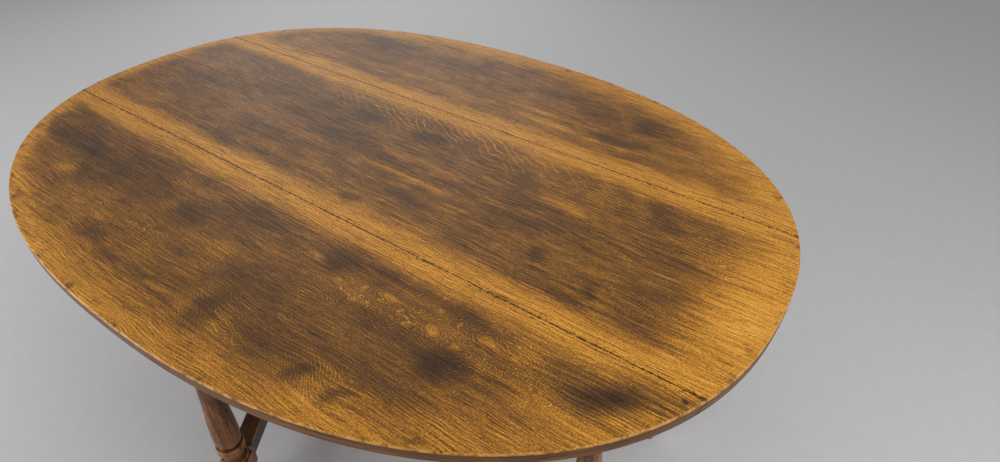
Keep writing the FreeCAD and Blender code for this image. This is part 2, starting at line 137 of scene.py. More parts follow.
def finish_piece(piece, node, material):
    """Smooth a piece, give it its material and let it stand for its CAD piece."""
    take_up(piece)
    bpy.ops.object.shade_smooth_by_angle(angle=smooth_angle)
    flats = piece.modifiers.new("flats", "WEIGHTED_NORMAL")
    flats.keep_sharp = True
    bpy.ops.object.modifier_apply(modifier=flats.name)
    piece.data.materials.clear()
    piece.data.materials.append(material)
    cad = frame["nodes"][node]
    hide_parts(node)
    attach(piece, cad["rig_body"])


turning_row = 0.002
turning_reach = 5
square_face = 0.0015


def mark_turning(piece):
    """Note on each point how far it stands out from the turned outline above and below it."""
    points = piece.data.vertices
    corners = [Vector(corner) for corner in piece.bound_box]
    centre = sum(corners, Vector()) / len(corners)
    spans = [math.hypot(point.co.x - centre.x, point.co.y - centre.y) for point in points]
    rows = [round(point.co.z / turning_row) for point in points]
    outline = {}
    for row, span in zip(rows, spans):
        outline[row] = max(outline.get(row, 0), span)
    square_faces = [face for face in piece.data.polygons if face.area > square_face]
    square = {index for face in square_faces for index in face.vertices}
    turning = piece.data.attributes.new("turning", "FLOAT", "POINT")
    for index, (row, span) in enumerate(zip(rows, spans)):
        near_rows = range(row - turning_reach, row + turning_reach + 1)
        around = [outline[near] for near in near_rows if near in outline]
        turning.data[index].value = 0.0 if index in square else span - sum(around) / len(around)


def tint(*screen):
    """Colour from its screen values of red, green and blue, 0 to 255."""
    shares = Color([value / 255 for value in screen])
    return [*shares.from_srgb_to_scene_linear(), 1.0]


class Bench:
    """Short ways to add nodes to one shader tree."""

    def __init__(self, tree):
        self.tree = tree

    def feed(self, socket, value):
        if isinstance(value, bpy.types.NodeSocket):
            self.tree.links.new(value, socket)
        else:
            socket.default_value = value

    def node(self, kind, inputs=(), **settings):
        made = self.tree.nodes.new(kind)
        for name, value in settings.items():
            setattr(made, name, value)
        for socket, value in dict(inputs).items():
            self.feed(made.inputs[socket], value)
        return made

    def math(self, operation, *values):
        return self.node("ShaderNodeMath", enumerate(values), operation=operation).outputs[0]

    def times(self, first, second):
        return self.math("MULTIPLY", first, second)

    def onto(self, base, value, share):
        """A share of a value, added to a base."""
        return self.math("MULTIPLY_ADD", value, share, base)

    def apart(self, first, second):
        return self.math("ABSOLUTE", self.math("SUBTRACT", first, second))

    def highest(self, first, second):
        return self.math("MAXIMUM", first, second)

    def vector(self, operation, *values):
        made = self.node("ShaderNodeVectorMath", enumerate(values), operation=operation)
        return made.outputs["Value" if operation == "LENGTH" else "Vector"]

    def parts(self, vector):
        return self.node("ShaderNodeSeparateXYZ", {0: vector}).outputs[:3]

    def joined(self, *values):
        return self.node("ShaderNodeCombineXYZ", enumerate(values)).outputs[0]

    def waves(self, vector, stretch, detail=2.0, roughness=0.5):
        inputs = {"Vector": self.vector("MULTIPLY", vector, stretch), "Scale": 1.0}
        inputs |= {"Detail": detail, "Roughness": roughness}
        return self.node("ShaderNodeTexNoise", inputs).outputs

    def noise(self, vector, *pattern):
        """Noise from 0 to 1."""
        return self.waves(vector, *pattern)["Fac"]

    def swing(self, vector, *pattern):
        """Noise to both sides of 0."""
        return self.math("SUBTRACT", self.noise(vector, *pattern), 0.5)

    def shifted(self, vector, stretch, reach):
        """A place moved about at random, as far as a reach in each direction."""
        swing = self.vector("SUBTRACT", self.waves(vector, stretch)["Color"], (0.5, 0.5, 0.5))
        return self.vector("ADD", vector, self.vector("MULTIPLY", swing, reach))

    def step(self, value, start, end, first=0.0, last=1.0):
        inputs = {"Value": value, "From Min": start, "From Max": end, "To Min": first, "To Max": last}
        return self.node("ShaderNodeMapRange", inputs, interpolation_type="SMOOTHSTEP").outputs[0]

    def mix(self, factor, first, second):
        """Mix of two colours, by the numbers of the node's colour sockets."""
        return self.node("ShaderNodeMix", {0: factor, 6: first, 7: second}, data_type="RGBA").outputs[2]

    def laid(self, colour, mask, share, over):
        """A colour with a share of another laid over it where a mask allows."""
        return self.mix(self.times(mask, share), colour, over)

    def ramp(self, value, stops):
        lowest, highest = stops[0][0], stops[-1][0]
        made = self.node("ShaderNodeValToRGB")
        steps = made.color_ramp.elements
        for at, colour in stops[1:-1]:
            steps.new((at - lowest) / (highest - lowest)).color = colour
        steps[0].color = stops[0][1]
        steps[len(stops) - 1].color = stops[-1][1]
        inputs = {"Value": value, "From Min": lowest, "From Max": highest}
        self.feed(made.inputs[0], self.node("ShaderNodeMapRange", inputs).outputs[0])
        return made.outputs[0]

    def attribute(self, name):
        return self.node("ShaderNodeAttribute", attribute_name=name).outputs["Fac"]

    def place(self, turn=(0, 0, 0)):
        """Object coordinates, turned so that the grain runs along X."""
        plain = self.node("ShaderNodeTexCoord").outputs["Object"]
        return self.node("ShaderNodeMapping", {"Vector": plain, "Rotation": turn}).outputs[0]

    def effect(self, tree, **inputs):
        """A shared effect with its own values: its outputs by name."""
        made = self.node("ShaderNodeGroup", node_tree=tree)
        for name, value in inputs.items():
            self.feed(made.inputs[name], value)
        return made.outputs


def new_effect(name, inputs, outputs):
    """Empty shared effect: its bench, its inputs by name and its output node."""
    tree = bpy.data.node_groups.new(name, "ShaderNodeTree")
    for label, kind in inputs.items():
        tree.interface.new_socket(label, in_out="INPUT", socket_type="NodeSocket" + kind)
    for label in outputs:
        tree.interface.new_socket(label, in_out="OUTPUT", socket_type="NodeSocketFloat")
    bench = Bench(tree)
    return bench, bench.node("NodeGroupInput").outputs, bench.node("NodeGroupOutput")


# Patterns in oak. Waves give how many there are to a metre along X, Y and Z, their detail and roughness.
# Edges give the value at which a mark begins and the one at which it is full.
drift_waves = ((1.7, 9, 9), 3)
ripple_waves = ((9, 60, 60), 2)
ripple_share = 0.12
ring_rise = (0.0, 0.12)
ring_fall = (0.6, 0.15)
pore_waves = ((90, 1100, 1100), 1)
pore_edge = (0.52, 0.66)
pore_least = 0.4
dash_waves = ((60, 640, 640), 3, 0.65)
dash_edge = (0.48, 0.62)
dash_least = 0.5
fibre_waves = ((13, 580, 580), 2, 0.5)
fibre_height = 0.4


def oak_grain_effect():
    """Growth rings about X, open pores in two sizes, and the fibre of the wood."""
    inputs = {"Vector": "Vector", "Spacing": "Float", "Wander": "Float"}
    names = ("Rings", "Pores", "Dashes", "Fibre", "Height")
    bench, given, out = new_effect("oak_grain", inputs, names)
    place = given["Vector"]
    drift = bench.onto(bench.swing(place, *drift_waves), bench.swing(place, *ripple_waves), ripple_share)
    from_pith = bench.vector("LENGTH", bench.vector("MULTIPLY", place, (0, 1, 1)))
    radius = bench.onto(from_pith, drift, given["Wander"])
    season = bench.math("FRACT", bench.math("DIVIDE", radius, given["Spacing"]))
    rings = bench.times(bench.step(season, *ring_rise), bench.step(season, *ring_fall))
    pores = bench.step(bench.noise(place, *pore_waves), *pore_edge)
    pores = bench.times(pores, bench.onto(pore_least, rings, 1 - pore_least))
    dashes = bench.step(bench.noise(place, *dash_waves), *dash_edge)
    dashes = bench.times(dashes, bench.onto(dash_least, rings, 1 - dash_least))
    fibre = bench.noise(place, *fibre_waves)
    height = bench.math("SUBTRACT", bench.times(fibre, fibre_height), bench.highest(pores, dashes))
    for name, value in zip(names, (rings, pores, dashes, fibre, height)):
        bench.feed(out.inputs[name], value)
    return bench.tree


rub_waves = ((60, 60, 60), 3, 0.6)
rub_edge = (0.38, 0.6)


def rubbed_effect():
    """Where hands and feet have rubbed an edge bare, in broken patches."""
    bench, given, out = new_effect("rubbed_edges", {"Vector": "Vector", "Edge": "Float"}, ("Bare",))
    patches = bench.step(bench.noise(given["Vector"], *rub_waves), *rub_edge)
    bench.feed(out.inputs["Bare"], bench.times(patches, given["Edge"]))
    return bench.tree


oak_grain = oak_grain_effect()
rubbed_edges = rubbed_effect()


def new_finish(name, kind=Bench):
    """Empty material: its bench, its shader and itself."""
    material = bpy.data.materials.new(name)
    material.use_nodes = True
    bench = kind(material.node_tree)
    return bench, material.node_tree.nodes["Principled BSDF"], material


def feed_shader(bench, shader, inputs):
    """Give a material's shader its colour and values."""
    for name, value in inputs.items():
        bench.feed(shader.inputs[name], value)


def raise_grain(bench, shader, height, depth, strength):
    """Let a height stand out of the surface."""
    bump = bench.node("ShaderNodeBump", {"Height": height, "Distance": depth, "Strength": strength})
    bench.feed(shader.inputs["Normal"], bump.outputs[0])


frame_pale = tint(204, 128, 58)
frame_brown = tint(148, 94, 42)
frame_dark = tint(66, 39, 21)
# Near-black for painted shade on the gate rails, which stand in shadow under the top.
frame_painted_shade = tint(36, 22, 13)
frame_wax = tint(30, 19, 12)
frame_bare = tint(186, 130, 72)
frame_ring_spacing = 0.0042
frame_ring_wander = 0.012
frame_ring_share = 0.45
frame_cloud_waves = ((5, 34, 34), 4, 0.6)
frame_cloud_edge = (0.38, 0.62)
frame_fibre_edge = (0.45, 0.8)
frame_fibre_share = 0.6
frame_pore_share = 0.75
bead_edge = (0.0006, 0.0028)
groove_edge = (-0.0006, -0.004)
groove_share = 0.85
frame_bare_share = 0.75
frame_dull = 0.22
frame_dull_cloud = 0.2
frame_dull_pores = 0.25
frame_coat = 0.3
frame_coat_dull = 0.2
oak_shine = 0.22
grain_depth = 0.0004
frame_grain_strength = 0.45


def frame_oak(name, turn, turned=False, painted_shade=0.0):
    """Dark waxed oak of the underframe, with its grain along one direction and a share of near-black painted
    shade.
    """
    bench, shader, material = new_finish(name)
    place = bench.place(turn)
    grain = bench.effect(oak_grain, Vector=place, Spacing=frame_ring_spacing, Wander=frame_ring_wander)
    cloud = bench.noise(place, *frame_cloud_waves)
    colour = bench.mix(bench.step(cloud, *frame_cloud_edge), frame_dark, frame_brown)
    pale_fibre = bench.step(grain["Fibre"], *frame_fibre_edge)
    colour = bench.laid(colour, pale_fibre, frame_fibre_share, frame_pale)
    colour = bench.laid(colour, grain["Rings"], frame_ring_share, frame_dark)
    colour = bench.laid(colour, grain["Pores"], frame_pore_share, frame_wax)
    # Painted shade: a share of near-black mixed over the whole colour.
    colour = bench.mix(painted_shade, colour, frame_painted_shade)
    edge = bench.attribute("arris")
    if turned:
        turning = bench.attribute("turning")
        edge = bench.highest(edge, bench.step(turning, *bead_edge))
        colour = bench.laid(colour, bench.step(turning, *groove_edge), groove_share, frame_wax)
    bare = bench.effect(rubbed_edges, Vector=place, Edge=edge)["Bare"]
    colour = bench.laid(colour, bare, frame_bare_share, frame_bare)
    dull = bench.onto(frame_dull, cloud, frame_dull_cloud)
    dull = bench.onto(dull, grain["Pores"], frame_dull_pores)
    feed_shader(bench, shader, {
        "Base Color": colour, "Roughness": dull, "Coat Weight": frame_coat,
        "Coat Roughness": frame_coat_dull, "Specular IOR Level": oak_shine,
    })
    raise_grain(bench, shader, grain["Height"], grain_depth, frame_grain_strength)
    return material


upright = (0, math.pi / 2, 0)
turned_oak = frame_oak("turned_oak", upright, turned=True)
for node in leg_nodes:
    leg = copied(node)
    ease(leg, leg_arris, leg_shortest_edge)
    mark_turning(leg)
    finish_piece(leg, node, turned_oak)

# Rails of the fixed frame: planed oak aprons under the top and square stretchers near the floor.
# The two cross stretchers stand well inside the ends, and shoes have rubbed the edges of all four.

rail_arris = 0.0018
rail_shortest_edge = 0.02
along_x = (0, 0, 0)
along_y = (0, 0, -math.pi / 2)
side_rails = [f"{side}_side_{kind}" for side in ("near", "far") for kind in ("apron", "stretcher")]
cross_rails = [f"{end}_{kind}" for end in ("left", "right") for kind in ("end_apron", "cross_stretcher")]
side_rail_oak = frame_oak("side_rail_oak", along_x)
cross_rail_oak = frame_oak("cross_rail_oak", along_y)
for nodes, rail_oak in ((side_rails, side_rail_oak), (cross_rails, cross_rail_oak)):
    for node in nodes:
        rail = copied(node)
        ease(rail, rail_arris, rail_shortest_edge)
        finish_piece(rail, node, rail_oak)

# Pegs of frame and gates: round oak pins driven through the tenons from outside.
# They are cut off a hair proud of the wood and their ends have worn to a low dome.

peg_crown_inset = 0.0014
peg_crown_rise = 0.00035
peg_crown_steps = 2
round_end_sides = 9
peg_end_dark = tint(58, 34, 18)
peg_end_brown = tint(104, 64, 32)
peg_pit_waves = ((900, 900, 900), 2)
peg_pit_edge = (0.5, 0.66)
peg_pit_share = 0.7
peg_pit_depth = 0.0003
peg_pit_strength = 0.5
peg_cloud_waves = ((70, 70, 70), 3)
peg_dull = 0.45
peg_dull_pits = 0.3


def crown_pegs(piece):
    """Raise the flat ends of a group of pegs to low domes."""
    shape = opened(piece, "FACE")
    for face in shape.faces:
        face.select_set(len(face.verts) > round_end_sides)
    bmesh.update_edit_mesh(piece.data)
    for _ in range(peg_crown_steps):
        bpy.ops.mesh.inset(thickness=peg_crown_inset, depth=peg_crown_rise, use_individual=True)
    bpy.ops.object.mode_set(mode="OBJECT")


def peg_oak_finish():
    """End grain of a peg: dark, dry and finely pitted."""
    bench, shader, material = new_finish("peg_oak")
    place = bench.place()
    pits = bench.step(bench.noise(place, *peg_pit_waves), *peg_pit_edge)
    colour = bench.mix(bench.noise(place, *peg_cloud_waves), peg_end_dark, peg_end_brown)
    colour = bench.laid(colour, pits, peg_pit_share, frame_wax)
    dull = bench.onto(peg_dull, pits, peg_dull_pits)
    feed_shader(bench, shader, {"Base Color": colour, "Roughness": dull})
    raise_grain(bench, shader, bench.math("SUBTRACT", 1.0, pits), peg_pit_depth, peg_pit_strength)
    return material


peg_oak = peg_oak_finish()
for node in ("frame_pegs", "near_gate_pegs", "far_gate_pegs"):
    peg_group = copied(node)
    crown_pegs(peg_group)
    finish_piece(peg_group, node, peg_oak)

# Gates: on each side a turned post pivots between stretcher and apron and carries two rails and a leg.
# The near gate is swung out under its leaf, so the grain of its rails runs at that angle.

gate_open_angle = math.radians(57.3)
post_arris = 0.0014
# Share of painted shade on the gate rails, for the shadow they stand in under the top.
gate_painted_shade = 0.85
gate_turns = {"near": (0, 0, gate_open_angle), "far": (0, 0, 0)}
for side, turn in gate_turns.items():
    for kind in ("post", "leg"):
        node = f"{side}_gate_{kind}"
        turned = copied(node)
        ease(turned, post_arris, leg_shortest_edge)
        mark_turning(turned)
        finish_piece(turned, node, turned_oak)
    gate_oak = frame_oak(f"{side}_gate_oak", turn, painted_shade=gate_painted_shade)
    for kind in ("top_rail", "stretcher"):
        node = f"{side}_gate_{kind}"
        rail = copied(node)
        ease(rail, rail_arris, rail_shortest_edge)
        finish_piece(rail, node, gate_oak)

# Top: a fixed centre board and two leaves, each glued up from wide oak planks and waxed for generations.
# The boards meet in rule joints, whose upper arrises are chipped, and smoke has darkened the middle.

top_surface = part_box("centre_board")[1].z
top_half_length = cad_box[1][0]
top_half_width = cad_box[1][1]
oval_power = 2.31
joint_y = 0.253
joint_width = 0.001
joint_cuts = 420
joint_ease = 0.0009
chip_pitch = 38.0
chip_threshold = 0.22
chip_depth = 0.0065
chip_limit = 0.0022
nick_pitch = 170.0
nick_depth = 0.0005
nick_seed = 7
broken_end = 0.909
broken_end_slope = 0.3
place_slack = 0.00005


def chip_at(x, seed):
    """How far the joint's arris is broken back at one place along it."""
    chip = max(0.0, noise.noise((x * chip_pitch, seed, 0)) - chip_threshold) * chip_depth
    nick = abs(noise.noise((x * nick_pitch, seed, nick_seed))) * nick_depth
    return max(min(chip + nick, chip_limit), (abs(x) - broken_end) * broken_end_slope)


def chip_joint(board, edge_y, inward):
    """Ease the upper arris of a board along a joint and break it back unevenly."""
    shape = opened(board, "EDGE")
    for edge in shape.edges:
        on_line = all(abs(point.co.y - edge_y) < place_slack for point in edge.verts)
        on_top = all(abs(point.co.z - top_surface) < place_slack for point in edge.verts)
        edge.select_set(on_line and on_top)
    bmesh.update_edit_mesh(board.data)
    bpy.ops.mesh.subdivide(number_cuts=joint_cuts, ngon=True)
    bpy.ops.mesh.bevel(offset=joint_ease, segments=arris_steps, affect="EDGES", clamp_overlap=True)
    shape = bmesh.from_edit_mesh(board.data)
    for point in shape.verts:
        across = (point.co.y - edge_y) * inward
        if point.select and across > place_slack:
            share = across / joint_ease
            chip = chip_at(point.co.x, edge_y)
            point.co.y += inward * chip * share
            if point.co.z < top_surface - place_slack:
                point.co.z -= chip * (1 - share)
    bmesh.update_edit_mesh(board.data)
    bpy.ops.object.mode_set(mode="OBJECT")


# Planks from the near rim to the far one: the far edge of each but the last, then for each the place of its
# heart and how deep it lay, a shift along the grain that sets the plank apart, and its tone
plank_edges = (-0.42, -0.2535, -0.045, 0.2535, 0.39)
plank_hearts = (-0.60, -0.335, -0.17, 0.02, 0.30, 0.62)
plank_depths = (0.05, 0.03, 0.04, 0.11, 0.05, 0.06)
plank_shifts = (3.1, 11.7, 23.9, 31.3, 47.9, 59.3)
plank_tones = (-0.02, 0.06, 0.0, 0.06, -0.14, -0.04)
ring_spacing = 0.0048
ring_wander = 0.03
bend_waves = ((5, 9, 0), 2)
grain_bend = 0.034


def stairs(bench, value, edges, levels):
    """A level for each stretch between edges."""
    total = levels[0]
    for edge, before, after in zip(edges, levels, levels[1:]):
        total = bench.onto(total, bench.math("GREATER_THAN", value, edge), after - before)
    return total


class TopBench(Bench):
    """Bench for the oak of the top, which knows a place's own plank and how far rim and joints are."""

    def __init__(self, tree):
        super().__init__(tree)
        self.plain = self.place()
        self.x, self.y, self.z = self.parts(self.plain)
        self.flat = self.vector("MULTIPLY", self.plain, (1, 1, 0))
        self.own = self.own_place()
        self.oval = self.from_rim()
        self.from_joint = self.apart(self.math("ABSOLUTE", self.y), joint_y + joint_width / 2)
        self.grain = self.effect(oak_grain, Vector=self.own, Spacing=ring_spacing, Wander=ring_wander)

    def own_place(self):
        """Place within each plank, measured from its own heart."""
        rows = (plank_hearts, plank_depths, plank_shifts)
        heart, depth, shift = (stairs(self, self.y, plank_edges, row) for row in rows)
        bend = self.swing(self.plain, *bend_waves)
        along = self.math("ADD", self.x, shift)
        across = self.onto(self.math("SUBTRACT", self.y, heart), bend, grain_bend)
        above = self.math("ADD", self.math("SUBTRACT", self.z, top_surface), depth)
        return self.joined(along, across, above)

    def from_rim(self):
        """Share of the way from the middle of the oval to its rim."""
        total = 0.0
        for way, half in ((self.x, top_half_length), (self.y, top_half_width)):
            share = self.math("DIVIDE", self.math("ABSOLUTE", way), half)
            total = self.math("ADD", total, self.math("POWER", share, oval_power))
        return self.math("POWER", total, 1 / oval_power)


stain_soft_edge = (1.35, 0.1)


def stain_effect():
    """One soft-edged stain about a place."""
    inputs = {"Vector": "Vector", "Place": "Vector", "Size": "Vector"}
    bench, given, out = new_effect("stain", inputs, ("Mask",))
    away = bench.vector("DIVIDE", bench.vector("SUBTRACT", given["Vector"], given["Place"]), given["Size"])
    bench.feed(out.inputs["Mask"], bench.step(bench.vector("LENGTH", away), *stain_soft_edge))
    return bench.tree


def lines_effect():
    """Thin lines wherever a value passes a whole number of spacings."""
    inputs = {"Value": "Float", "Spacing": "Float", "Width": "Float"}
    bench, given, out = new_effect("lines", inputs, ("Line",))
    share = bench.math("FRACT", bench.math("DIVIDE", given["Value"], given["Spacing"]))
    from_middle = bench.apart(share, 0.5)
    line_edge = bench.math("SUBTRACT", 0.5, given["Width"])
    bench.feed(out.inputs["Line"], bench.step(from_middle, line_edge, 0.5))
    return bench.tree


stain = stain_effect()
lines = lines_effect()


def spot(bench, place, along, across, half_length, half_width):
    """Soft mask of one place on the top."""
    size = (half_length, half_width, 1)
    return bench.effect(stain, Vector=place, Place=(along, across, 0), Size=size)["Mask"]


# Smoky stains: place along and across, half length, half width, and strength, below 0 for a bare spot
stains = (
    (-0.640, -0.385, 0.130, 0.075, 0.32), (-0.500, -0.430, 0.120, 0.075, 0.32),
    (-0.380, -0.430, 0.160, 0.080, 0.20), (-0.544, -0.493, 0.050, 0.028, -0.50),
    (-0.140, -0.435, 0.060, 0.045, 0.40), (-0.010, -0.345, 0.110, 0.040, 0.30),
    (0.230, -0.360, 0.050, 0.060, 0.40), (0.420, -0.425, 0.160, 0.030, 0.30),
    (0.550, -0.435, 0.048, 0.034, 0.70), (0.500, -0.330, 0.110, 0.022, 0.35),
    (0.769, -0.357, 0.042, 0.040, 0.85), (0.809, -0.325, 0.038, 0.032, 0.80),
    # The broad stains at 0.860 and 0.870 along the near leaf are painted shade, for the light falling off at
    # its right end.
    (0.860, -0.345, 0.110, 0.085, 0.29), (0.740, -0.470, 0.110, 0.060, 0.16),
    (0.870, -0.285, 0.075, 0.040, 0.34), (0.430, -0.605, 0.130, 0.060, -0.22),
    (0.128, -0.585, 0.036, 0.060, 0.50), (0.371, -0.576, 0.022, 0.040, 0.45),
    (0.454, -0.576, 0.018, 0.035, 0.40), (-0.250, -0.580, 0.060, 0.045, 0.35),
    (0.000, -0.470, 0.060, 0.035, -0.20), (0.640, -0.490, 0.110, 0.050, -0.15),
    (0.640, -0.335, 0.070, 0.030, -0.30), (-0.166, 0.109, 0.070, 0.035, 0.40),
    (0.050, 0.120, 0.055, 0.030, 0.45), (0.680, 0.128, 0.050, 0.040, 0.35),
    (0.700, 0.026, 0.080, 0.045, 0.20), (-0.150, -0.006, 0.140, 0.035, 0.35),
    (-0.345, -0.100, 0.140, 0.040, 0.30), (-0.064, -0.096, 0.050, 0.030, 0.30),
    (0.180, -0.115, 0.090, 0.025, 0.40), (0.077, -0.180, 0.035, 0.014, 0.55),
    (-0.300, -0.185, 0.260, 0.020, 0.30), (0.525, -0.102, 0.022, 0.022, 0.40),
    (0.653, -0.134, 0.022, 0.026, 0.45), (0.600, -0.180, 0.090, 0.018, 0.30),
    (0.128, -0.051, 0.190, 0.013, -0.50), (0.474, 0.064, 0.080, 0.022, -0.40),
    # The bare spot at 0.880 along is partly a painted highlight at the right end.
    (0.218, 0.013, 0.060, 0.020, -0.25), (0.880, -0.060, 0.080, 0.090, -0.30),
    (-0.448, 0.505, 0.160, 0.060, 0.35), (-0.128, 0.525, 0.180, 0.035, 0.30),
    (0.160, 0.512, 0.110, 0.035, 0.30), (0.320, 0.486, 0.080, 0.028, 0.35),
    (0.474, 0.500, 0.050, 0.050, 0.35), (0.435, 0.384, 0.090, 0.018, 0.50),
    (0.512, 0.333, 0.070, 0.013, 0.35), (0.250, 0.400, 0.200, 0.014, -0.35),
    (0.300, 0.360, 0.250, 0.010, -0.30), (0.883, -0.272, 0.006, 0.005, 0.90),
)
stain_drift_waves = (5, 14, 1)
stain_drift = (0.10, 0.05, 0.0)
stain_least = 0.7
stain_streak_share = 0.5
cloud_waves = ((3.4, 8, 8), 5, 0.6)
cloud_edge = (0.3, 0.7)
cloud_share = 0.3
streak_waves = ((1.3, 34, 34), 4, 0.65)
streak_edge = (0.28, 0.7)
streak_share = 0.16
mottle_waves = ((15, 24, 0), 4, 0.6)
mottle_edge = (0.32, 0.68)
mottle_share = 0.18
smoke_level = 0.40
wobble_waves = ((7, 19, 19), 5, 0.6)
rim_wobble = 0.10
joint_wobble = 0.04
smoke_outer = 0.99
smoke_inner = (0.92, 0.84)
smoke_inner_from = (-0.75, -0.2)
smoke_joint_edge = (0.018, 0.08)
bright_end_and_highlight_along = (0.72, 0.94)
bright_end_and_highlight_middle = -0.03
bright_end_and_highlight_across = (0.26, 0.1)
bright_end_and_highlight_share = -0.7


def smoked_part(bench):
    """The part of each board that smoke has darkened: not the rim, the joints or the right end, which is kept
    bright partly as bare wood and partly as a painted highlight.
    """
    wobble = bench.swing(bench.flat, *wobble_waves)
    inner = bench.step(bench.x, *smoke_inner_from, *smoke_inner)
    inside = bench.step(bench.onto(bench.oval, wobble, rim_wobble), smoke_outer, inner)
    off_joint = bench.step(bench.onto(bench.from_joint, wobble, joint_wobble), *smoke_joint_edge)
    # Painted highlight in part: the right end of the centre board is kept bright gold.
    along = bench.step(bench.x, *bright_end_and_highlight_along)
    across = bench.step(bench.apart(bench.y, bright_end_and_highlight_middle), *bright_end_and_highlight_across)
    off_end = bench.onto(1.0, bench.times(along, across), bright_end_and_highlight_share)
    return bench.times(bench.times(inside, off_joint), off_end)


def smoke_on(bench, cloud):
    """Smoke in clouds and streaks, and the separate stains."""
    streaks = bench.step(bench.noise(bench.own, *streak_waves), *streak_edge)
    level = stairs(bench, bench.y, plank_edges, plank_tones)
    level = bench.onto(level, bench.step(cloud, *cloud_edge), cloud_share)
    mottle = bench.step(bench.noise(bench.flat, *mottle_waves), *mottle_edge, -0.5, 0.5)
    level = bench.onto(level, mottle, mottle_share)
    level = bench.math("ADD", bench.onto(smoke_level, streaks, streak_share), level)
    smoke = bench.times(smoked_part(bench), level)
    loose = bench.shifted(bench.flat, stain_drift_waves, stain_drift)
    ragged = bench.onto(stain_least, streaks, stain_streak_share)
    for *where, strength in stains:
        smoke = bench.onto(smoke, bench.times(spot(bench, loose, *where), ragged), strength)
    return smoke


# Rays across the grain: place, half length and half width of a patch, its lines' slant, waves and spacing
ray_spots = (
    (0.06, 0.165, 0.52, 0.070, 1.7, 0.110, 0.0340),
    (0.60, 0.120, 0.30, 0.100, 6.0, 0.240, 0.0460),
    (-0.28, -0.540, 0.26, 0.090, 9.0, 0.800, 0.0420),
)
ray_width = 0.16
ray_waves = ((11, 12, 0), 2)
ray_break_waves = ((16, 24, 0), 3)
ray_break_edge = (0.36, 0.54)


def rays_on(bench):
    """Pale rays of the quartered oak, in broken wavy lines across the grain."""
    wave = bench.swing(bench.flat, *ray_waves)
    broken = bench.step(bench.noise(bench.flat, *ray_break_waves), *ray_break_edge)
    rays = 0.0
    for *where, slant, waviness, spacing in ray_spots:
        run = bench.onto(bench.onto(bench.x, bench.y, slant), wave, waviness)
        line = bench.effect(lines, Value=run, Spacing=spacing, Width=ray_width)["Line"]
        rays = bench.onto(rays, bench.times(spot(bench, bench.flat, *where), broken), line)
    return rays


# Fern figure: place where its lines turn aside, half length and half width
ferns = ((0.150, -0.585, 0.130, 0.060), (0.415, -0.575, 0.110, 0.060))
fern_waves = ((22, 30, 0), 2)
fern_turn = 0.9
fern_soft = 0.03
fern_waviness = 0.035
fern_spacing = 0.0066
fern_width = 0.2


def ferns_on(bench):
    """Pale lines that run along the board, then turn aside like a fern's leaves, and the place they take."""
    wave = bench.swing(bench.flat, *fern_waves)
    figure, cover = 0.0, 0.0
    for along, *others in ferns:
        aside = bench.math("SMOOTH_MIN", bench.math("SUBTRACT", bench.x, along), 0.0, fern_soft)
        run = bench.onto(bench.onto(bench.y, aside, fern_turn), wave, fern_waviness)
        line = bench.effect(lines, Value=run, Spacing=fern_spacing, Width=fern_width)["Line"]
        mask = spot(bench, bench.flat, along, *others)
        figure = bench.onto(figure, mask, line)
        cover = bench.highest(cover, mask)
    return figure, cover


# Nested figure: place of each heart and its reach before the rings begin
hearts = (
    (0.314, -0.373, 0.007), (0.364, -0.370, 0.014), (0.311, -0.409, 0.008), (0.267, -0.391, 0.006),
    (0.404, -0.405, 0.005), (0.460, -0.343, 0.008), (0.480, -0.391, 0.014), (0.574, -0.348, 0.016),
    (0.545, -0.396, 0.011), (0.626, -0.350, 0.006), (0.668, -0.378, 0.003), (0.704, -0.402, 0.002),
    (0.828, 0.068, 0.006), (0.872, 0.078, 0.002),
)
heart_stretch = (0.75, 1.15, 0.0)
heart_merge = 0.012
heart_edge = (0.002, -0.004)
nest_waves = (17, 26, 1)
nest_drift = (0.07, 0.045, 0.0)
nest_spacing = 0.0046
nest_width = 0.2
nest_edge = (0.05, 0.025)
burl_edge = (0.05, 0.02)


def nest_on(bench):
    """Nested rings of a burl, its bare golden hearts and its whole reach."""
    loose = bench.shifted(bench.flat, nest_waves, nest_drift)
    nearest = 1.0
    for along, across, reach in hearts:
        away = bench.vector("MULTIPLY", bench.vector("SUBTRACT", loose, (along, across, 0)), heart_stretch)
        beyond = bench.math("SUBTRACT", bench.vector("LENGTH", away), reach)
        nearest = bench.math("SMOOTH_MIN", nearest, beyond, heart_merge)
    rings = bench.effect(lines, Value=nearest, Spacing=nest_spacing, Width=nest_width)["Line"]
    rings = bench.times(rings, bench.step(nearest, *nest_edge))
    return rings, bench.step(nearest, *heart_edge), bench.step(nearest, *burl_edge)


# Marks on the top and what each adds to its tone: below 0 towards bare gold, above 0 towards soot
ray_share = -0.7
nest_share = -0.6
heart_share = -0.4
fern_share = -0.68
worn_waves = ((50, 70, 0), 3, 0.6)
worn_edge = (0.36, 0.6)
worn_least = 0.4
figure_hides_grain = -0.65
fibre_share = 1.9
dash_share = 0.5
ring_share = 0.14
stipple_waves = ((250, 340, 0), 2, 0.6)
stipple_share = 1.5
smudge_waves = ((21, 21, 0), 3, 0.6)
smudge_edge = (0.56, 0.68)
smudge_rim_edge = (0.955, 0.99)
smudge_share = 0.45
speck_waves = ((130, 170, 0), 2, 0.6)
speck_edge = (0.58, 0.66)
speck_joint_edge = (0.016, 0.003)
speck_share = 0.8
# Painted shade: the right part of the near leaf is darkened where less light falls on it.
painted_shade_across = (-0.36, -0.6)
painted_shade_along = (-0.2, 0.6)
painted_shade_share = 0.34
long_line_waves = ((6, 420, 420), 3, 0.65)
long_line_edge = (0.52, 0.66)
long_line_share = 0.34


